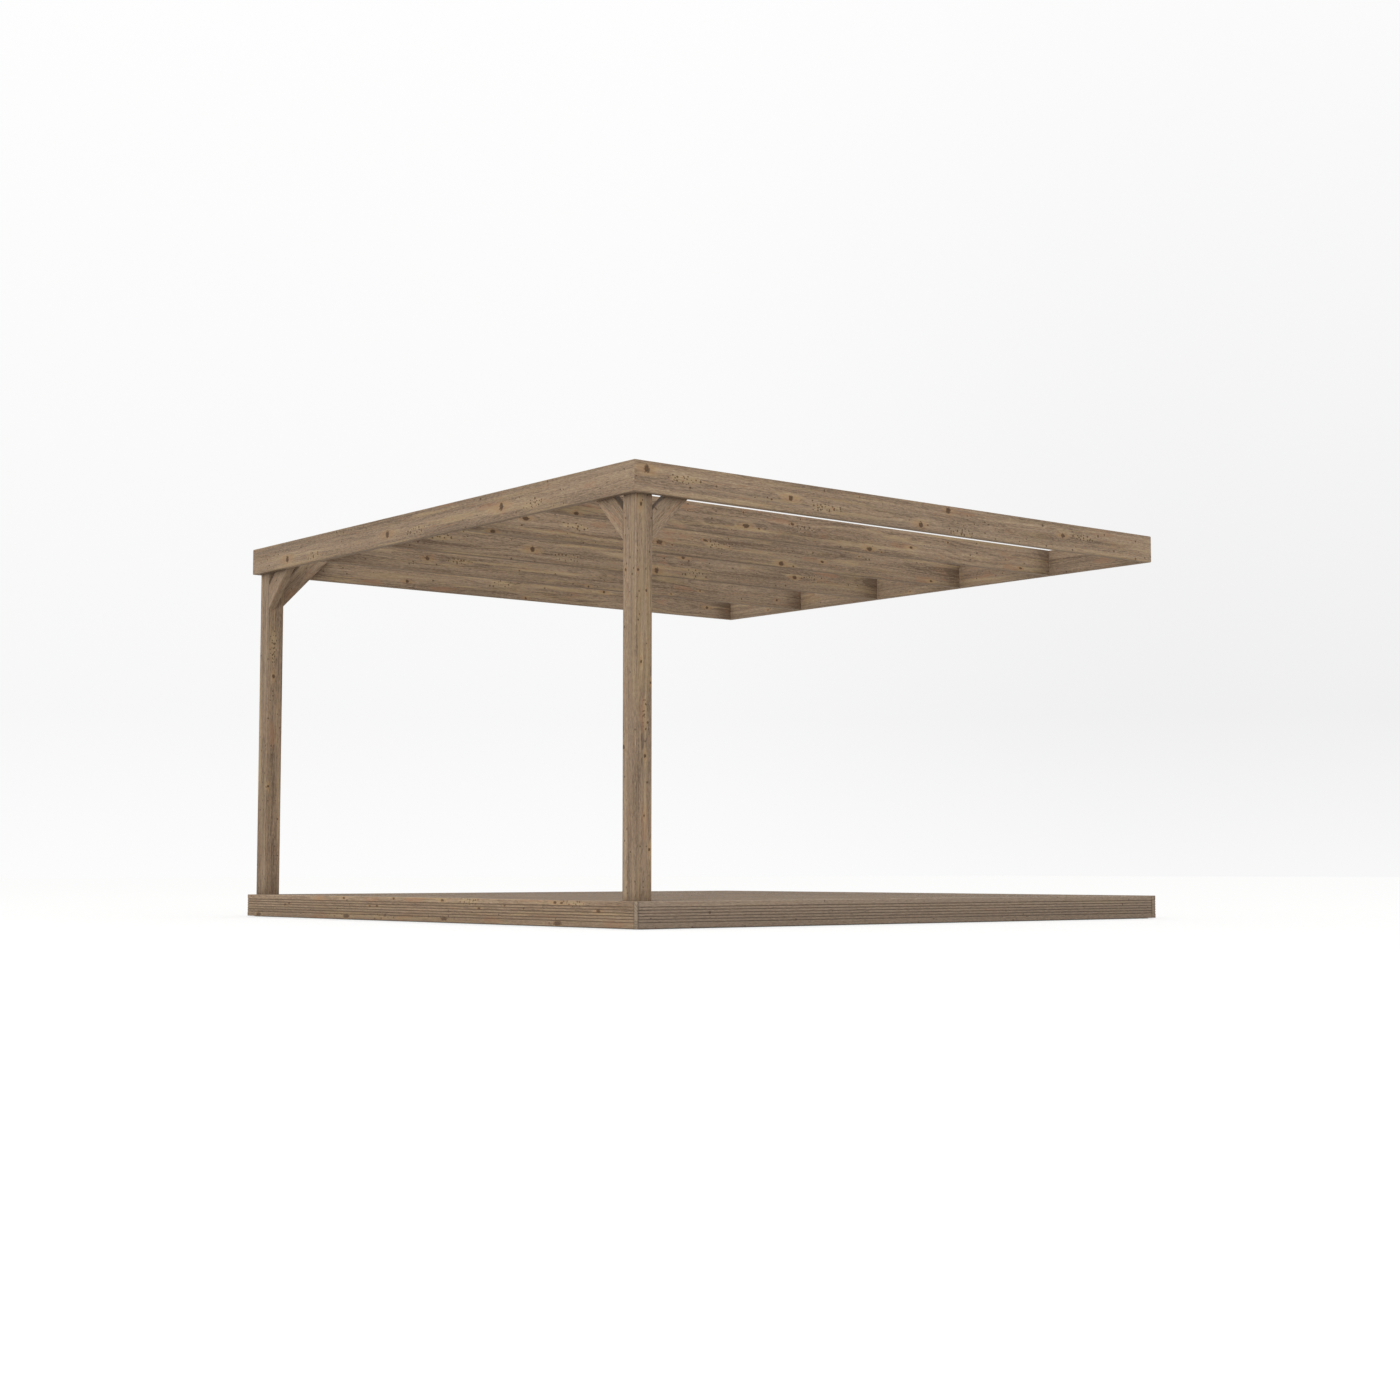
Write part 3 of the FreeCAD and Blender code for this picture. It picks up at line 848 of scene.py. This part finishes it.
def placed_marks(graph, timber, timber_place):
    """The wood group's inputs for a timber's knots, clusters and flushes where MARKS has them."""
    def gather(kind):
        return [
            (*timber.in_tree(where), radius, shape)
            for face in MARKS[timber.name]
            for *where, radius, shape in face.placed(timber.name, getattr(face, kind))
        ]
    pith_inside = timber.name.startswith("post_")
    near, swept = nearest_knot(graph, timber_place, gather("knots"), pith_inside)
    return {
        "Spot": near,
        "Spot Swept": swept,
        "Cluster": nearest_patch(graph, timber_place, gather("clusters"), *CLUSTER_SIZE),
        "Flush": nearest_patch(graph, timber_place, gather("flushes"), *FLUSH_SIZE),
    }


def vary_boards(graph, place, timber_place, tone):
    """Gives each board of the deck a place in its tree and a tone of its own."""
    _, y, _ = graph.split(place)
    number = graph.math("ROUND", graph.math("DIVIDE", graph.minus(y, first_board), board_pitch))
    number = graph.math("MINIMUM", graph.math("MAXIMUM", number, 0.0), BOARD_COUNT - 1.0)
    seed = {"W": graph.plus(number, 0.5)}
    chances = graph.add("ShaderNodeTexWhiteNoise", seed, noise_dimensions="1D")
    along, aside, above = graph.split(chances.outputs["Color"])
    middle = graph.plus_share(first_board, number, board_pitch)
    moved = graph.join(
        graph.times(along, BOARD_CUT_ALONG),
        graph.minus(graph.spread(aside, -BOARD_CUT_ASIDE, BOARD_CUT_ASIDE), middle),
        graph.spread(above, 0.0, BOARD_CUT_ABOVE),
    )
    board_tone = graph.times(graph.spread(chances.outputs["Value"], *BOARD_TONES), tone)
    return graph.vector("ADD", timber_place, moved), board_tone


def tone_lift(graph, name, place, facing):
    """What painted light on a timber's underside, its stripes, painted shade on some faces and painted
    shade by the wall plate add to its tone.
    """
    sideways, _, upward = graph.split(facing)
    # Undersides get painted light: a little paler, as if lit from below.
    lift = graph.step(upward, *UNDERSIDES, UNDERSIDE_LIGHT, 0.0)
    for direction, middle, half_width, inside, outside in STRIPES.get(name, ()):
        off = graph.from_middle(graph.vector("DOT_PRODUCT", place, direction), middle)
        lift = graph.plus(lift, graph.step(off, 0.0, half_width, inside, outside))
    # Painted shade on some faces.
    if name in PAINTED_FACE_SHADES:
        direction, change = PAINTED_FACE_SHADES[name]
        turned = graph.vector("DOT_PRODUCT", facing, direction)
        lift = graph.plus(lift, graph.step(turned, *LOOKS_THAT_WAY, 0.0, change))
    if name in WALL_SHADE_SIDES:
        side = WALL_SHADE_SIDES[name]
        turned = graph.times(sideways, side) if side else graph.math("ABSOLUTE", sideways)
        _, y, _ = graph.split(place)
        # Painted shade where the timber meets the wall plate.
        wall_shade = graph.step(graph.from_middle(y, WALL_SHADE_MIDDLE), 0.0, WALL_SHADE_REACH, WALL_SHADE_TONE, 0.0)
        lift = graph.plus(lift, graph.times(graph.step(turned, *LOOKS_THAT_WAY), wall_shade))
    return lift


def groove_marks(graph, timber, place, facing, timber_place):
    """How dark a grooved face gets, with painted shade at an edge board's ends, and what the painted
    highlight on its lips adds to the tone (an edge board's).
    """
    outward, plane, half_length = grooved_face(timber)
    depth = graph.minus(plane, graph.vector("DOT_PRODUCT", place, outward))
    facing_out = graph.step(graph.vector("DOT_PRODUCT", facing, outward), *GROOVED_FACES)
    darkening = graph.times(graph.step(depth, *GROOVE_DARK_DEPTHS), facing_out)
    if timber.name.startswith("deck_boards_"):
        return darkening, 0.0
    # The arrises beside the end grain get painted shade from the joint at the corner.
    along, _, _ = graph.split(timber_place)
    shade_from, full_shade_from = (half_length - reach for reach in END_SHADE_ENDS)
    end_shade = graph.step(graph.from_middle(along, timber.cut), shade_from, full_shade_from, 0.0, END_SHADE)
    darkening = graph.math("MAXIMUM", darkening, graph.times(end_shade, graph.fade(depth, *ARRIS_DEPTHS)))
    # The lower edges of the grooves, which look up, get a painted highlight.
    _, _, upward = graph.split(facing)
    _, _, height = graph.split(place)
    lip_highlight = graph.times(graph.step(upward, *LIP_FACES, 0.0, LIP_HIGHLIGHT), facing_out)
    grooved = graph.fade(graph.from_middle(height, timber.centre.z), *LIP_HEIGHTS)
    return darkening, graph.times(lip_highlight, grooved)


def grooved_face(timber):
    """The way that a grooved face looks, its plane, and half the board's length."""
    low, high = (Vector(corner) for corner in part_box(timber.name))
    if timber.name.startswith("deck_boards_"):
        outward = Z_AXIS
    else:
        ways = {"left": -X_AXIS, "right": X_AXIS, "front": -Y_AXIS, "back": Y_AXIS}
        outward = ways[timber.name.split("_")[2]]
    return tuple(outward), max(low.dot(outward), high.dot(outward)), max(high - low) / 2


def wood_material(timber):
    """One timber's finish."""
    name = timber.name
    tone, grey, knot_share, figure = timber.look
    material = bpy.data.materials.new("wood_" + name)
    graph = empty_graph(material)
    coordinates = graph.add("ShaderNodeTexCoord")
    place = coordinates.outputs["Object"]
    facing = coordinates.outputs["Normal"]
    turn = timber.turn().to_euler("XYZ")
    timber_place = graph.mapped(place, Rotation=turn, Location=timber.in_tree((0, 0, 0)))
    if name.startswith("deck_boards_"):
        timber_place, tone = vary_boards(graph, place, timber_place, tone)

    inputs = {
        "Place": timber_place, "Facing": graph.mapped(facing, "VECTOR", Rotation=turn), "Tone": tone,
        "Grey": grey, "Knots": knot_share, "Figure": figure, "Grime": CORNER_SHADE_SHARES.get(name, 1.0),
        "Lift": tone_lift(graph, name, place, facing),
    }
    if name in MARKS:
        inputs.update(placed_marks(graph, timber, timber_place))
    if name.startswith(("deck_boards_", "edge_board_")):
        inputs["Dirt"], lip_highlight = groove_marks(graph, timber, place, facing, timber_place)
        # The painted highlight on the grooves' lower edges adds to the tone.
        inputs["Lift"] = graph.plus(inputs["Lift"], lip_highlight)
    wood = graph.add("ShaderNodeGroup", node_tree=SOFTWOOD)
    for socket, value in inputs.items():
        graph.put(wood.inputs[socket], value)
    colour, roughness, height = wood.outputs
    surface = {"Base Color": colour, "Roughness": roughness, "Specular IOR Level": WOOD_GLOSS}
    graph.finish(surface, height, WOOD_BUMP, 1.0)
    return material


def cut_timber(name, dice):
    """How a node's wood lies, from its box, and the rest by chance.

    The draws keep this order, and every timber makes them.
    """
    low, high = (Vector(corner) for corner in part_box(name))
    centre = (low + high) / 2
    spans = high - low
    thinnest, _, longest = sorted(range(3), key=lambda axis: spans[axis])
    tone = dice.uniform(0.96, 1.04)
    grey = dice.uniform(0.0, 0.06)
    across = dice.uniform(-0.03, 0.03)
    through = dice.uniform(0.060, 0.105) * dice.choice((-1, 1))
    cut = dice.uniform(5.0, 60.0)
    look = LOOKS.get(name, (tone, grey, 1.0, USUAL_FIGURE))
    grain, thin = AXES[longest], AXES[thinnest]
    if name.startswith("post_"):
        # A post has the pith inside.
        through = dice.uniform(-0.012, 0.012)
        across = dice.uniform(-0.012, 0.012)
    elif name.startswith("brace_") and thin == Y_AXIS:
        grain = Vector((-1 if centre.x > 0 else 1, 0, 1)).normalized()
    elif name.startswith("brace_"):
        grain = Vector((0, 1, 1)).normalized()
    elif name.startswith("deck_boards_"):
        # All four groups are cut from one piece, which vary_boards then divides.
        grain, thin = X_AXIS, Z_AXIS
        centre = Vector((0.0, 0.0, centre.z))
        across, through, cut, look = 0.0, 0.045, 11.0, DECK_LOOK
    return Timber(name, grain, thin, centre, (across, through), cut, look)


def dress(node, material):
    """Puts one finish on a CAD node."""
    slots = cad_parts[node].material_slots
    if not slots:
        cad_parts[node].data.materials.append(material)
    for slot in slots:
        slot.material = material


STEEL = srgb(150, 148, 144)
STEEL_GRIME = srgb(104, 98, 90)
STEEL_ROUGHNESS = (0.32, 0.55)


def steel_material():
    """Dull stainless steel with fine scratches and a little grime."""
    material = bpy.data.materials.new("screw_steel")
    graph = empty_graph(material)
    place = graph.add("ShaderNodeTexCoord").outputs["Object"]
    scratches = graph.noise(graph.vector("MULTIPLY", place, (900.0, 2600.0, 900.0)), 2.0)
    grime_and_shade = graph.noise(graph.vector("MULTIPLY", place, (240.0, 240.0, 240.0)), 2.0)
    colour = graph.mix(graph.step(grime_and_shade, 0.42, 0.66), STEEL, STEEL_GRIME)
    roughness = graph.line(scratches, 0.2, 0.8, *STEEL_ROUGHNESS)
    surface = {"Base Color": colour, "Roughness": roughness, "Metallic": 1.0}
    graph.finish(surface, scratches, 0.4, 0.0002)
    return material


# A screw's rings, from its foot over the head into the six-lobed socket: the radii that repeat
# round a ring, and its height above the deck.
SCREW_HEAD = 0.0042
RING_POINTS = 12
SCREW_RINGS = (
    ([SCREW_HEAD], -0.0003),
    ([SCREW_HEAD], 0.00030),
    ([SCREW_HEAD - 0.0003], 0.00055),
    ([0.0021, 0.00155], 0.00055),
    ([0.0019, 0.00140], 0.00008),
)

# Where the screws sit on a board, and how far off they may be along it and across it.
SCREW_FROM_END = 0.016
SCREW_FROM_EDGE = 0.0145
SCREW_OFF_ALONG = 0.003
SCREW_OFF_ACROSS = 0.001


def add_ring(mesh, centre, radii, height, turn):
    """A closed ring of points; radii repeats round the ring."""
    points = []
    for index in range(RING_POINTS):
        radius = radii[index % len(radii)]
        angle = turn + 2 * math.pi * index / RING_POINTS
        points.append(mesh.verts.new((
            centre[0] + radius * math.cos(angle), centre[1] + radius * math.sin(angle), height,
        )))
    return points


def join_rings(mesh, lower, upper):
    """Quads between two rings, facing away from the middle."""
    for index in range(RING_POINTS):
        after = (index + 1) % RING_POINTS
        mesh.faces.new((lower[index], lower[after], upper[after], upper[index]))


def add_screw(mesh, centre, turn):
    """One screw, from its foot to the bottom of its socket."""
    rings = [add_ring(mesh, centre, radii, deck_top + height, turn) for radii, height in SCREW_RINGS]
    for lower, upper in zip(rings, rings[1:]):
        join_rings(mesh, lower, upper)
    mesh.faces.new(rings[-1])
    mesh.faces.new(list(reversed(rings[0])))


def deck_screws():
    """Two countersunk screws where each board crosses each joist, each with a six-lobed socket."""
    joists = sorted(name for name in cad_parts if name.startswith("deck_joist_"))
    board_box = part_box(board_groups[0])
    least_x = board_box[0][0] + SCREW_FROM_END
    most_x = board_box[1][0] - SCREW_FROM_END
    draw = random.Random(7)
    mesh = bmesh.new()
    for joist in joists:
        low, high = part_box(joist)
        x_middle = min(max((low[0] + high[0]) / 2, least_x), most_x)
        for number in range(BOARD_COUNT):
            y_middle = first_board + number * board_pitch
            for side in (-1, 1):
                x = x_middle + draw.uniform(-SCREW_OFF_ALONG, SCREW_OFF_ALONG)
                y = y_middle + side * (BOARD_WIDTH / 2 - SCREW_FROM_EDGE)
                y += draw.uniform(-SCREW_OFF_ACROSS, SCREW_OFF_ACROSS)
                add_screw(mesh, (x, y), draw.uniform(0, math.pi))
    data = bpy.data.meshes.new("deck_screws")
    mesh.to_mesh(data)
    mesh.free()
    data.materials.append(steel_material())
    screws = bpy.data.objects.new("deck_screws", data)
    bpy.context.scene.collection.objects.link(screws)
    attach(screws, "root")


# The studio: the floor's reach, its grey, and the light of its own that the camera sees on it;
# then the even light.
FLOOR_REACH = 60.0
FLOOR_GREY = (0.50, 0.50, 0.50, 1)
FLOOR_GLOW = 0.50
WHITE = (1, 1, 1, 1)
SKY_COLOUR = (1.0, 0.995, 0.985, 1)
SKY_STRENGTH = 0.95

# The level direction that points to the right in the photographed view.
PHOTO_RIGHT = (0.633, 0.774, 0.0)

# The photographed view: the degrees that it looks up, and is turned to the left.
CAMERA_PLACE = (9.4324, -9.4673, -1.7648)
CAMERA_RISE = 4.4683
CAMERA_TURN = 50.7011
CAMERA_LENS = 55.85


def studio_floor():
    """A floor that keeps a soft shadow; the camera sees it lifted to white."""
    data = bpy.data.meshes.new("floor")
    reach = FLOOR_REACH
    corners = [(-reach, -reach, 0), (reach, -reach, 0), (reach, reach, 0), (-reach, reach, 0)]
    data.from_pydata(corners, [], [(0, 1, 2, 3)])
    floor = bpy.data.objects.new("floor", data)
    floor.location = (0, 0, ground - 0.001)
    bpy.context.scene.collection.objects.link(floor)
    material = bpy.data.materials.new("floor_white")
    graph = empty_graph(material)
    rays = graph.add("ShaderNodeLightPath").outputs
    mirrored = graph.math("MAXIMUM", rays["Is Glossy Ray"], rays["Is Transmission Ray"])
    seen = graph.math("MAXIMUM", rays["Is Camera Ray"], mirrored)
    matt = graph.add("ShaderNodeBsdfDiffuse", {"Color": FLOOR_GREY}).outputs[0]
    light = {"Color": WHITE, "Strength": graph.times(seen, FLOOR_GLOW)}
    glow = graph.add("ShaderNodeEmission", light).outputs[0]
    graph.show(graph.add("ShaderNodeAddShader", [matt, glow]).outputs[0])
    data.materials.append(material)


def studio_world():
    """Even grey-white light, and behind the object a backdrop that is nearly white."""
    world = bpy.data.worlds.new("studio")
    bpy.context.scene.world = world
    graph = empty_graph(world)
    rays = graph.add("ShaderNodeLightPath").outputs
    seen = graph.math("MAXIMUM", rays["Is Camera Ray"], rays["Is Transmission Ray"])
    sky = {"Color": SKY_COLOUR, "Strength": SKY_STRENGTH}
    light = graph.add("ShaderNodeBackground", sky).outputs[0]
    # The backdrop greys very slightly, low down and to the right of the photographed view.
    direction = graph.add("ShaderNodeTexCoord").outputs["Generated"]
    _, _, upward = graph.split(direction)
    right = graph.step(graph.vector("DOT_PRODUCT", direction, PHOTO_RIGHT), -0.06, 0.24)
    low = graph.times(graph.line(upward, 0.0, 0.07, 0.35, 1.0), graph.line(upward, 0.07, 0.40, 1.0, 0.0))
    dim = graph.times(low, graph.spread(right, 0.06, 0.105))
    dim = graph.minus(graph.spread(right, 0.995, 0.975), dim)
    white = {"Color": graph.join(dim, dim, dim), "Strength": 1.0}
    backdrop = graph.add("ShaderNodeBackground", white).outputs[0]
    graph.show(graph.add("ShaderNodeMixShader", [seen, light, backdrop]).outputs[0], "World")


def add_lamp(name, place, target, size, share):
    """A square soft lamp. share is the part of full light that it gives a face turned to it."""
    data = bpy.data.lights.new(name, "AREA")
    data.shape = "SQUARE"
    data.size = size
    lamp = bpy.data.objects.new(name, data)
    bpy.context.scene.collection.objects.link(lamp)
    lamp.location = place
    way = Vector(target) - Vector(place)
    lamp.rotation_mode = "QUATERNION"
    lamp.rotation_quaternion = way.to_track_quat("-Z", "Y")
    lamp.visible_camera = False
    data.energy = share * math.pi ** 2 * way.length_squared


def studio_camera():
    """The photograph's view: from the front right, low down, looking slightly up."""
    data = bpy.data.cameras.new("camera")
    data.sensor_width = 36.0
    data.lens = CAMERA_LENS
    data.clip_start = 0.1
    data.clip_end = 300.0
    camera = bpy.data.objects.new("camera", data)
    bpy.context.scene.collection.objects.link(camera)
    camera.location = CAMERA_PLACE
    camera.rotation_euler = (math.radians(90 + CAMERA_RISE), 0.0, math.radians(CAMERA_TURN))
    bpy.context.scene.camera = camera


dice = random.Random(20)
for name in sorted(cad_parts):
    dress(name, wood_material(cut_timber(name, dice)))
deck_screws()

studio_floor()
studio_world()
add_lamp("key", place=(11.0, -17.5, 4.2), target=(0.0, -1.8, -0.8), size=8.0, share=0.27)
studio_camera()
bpy.context.scene.view_settings.view_transform = "Standard"
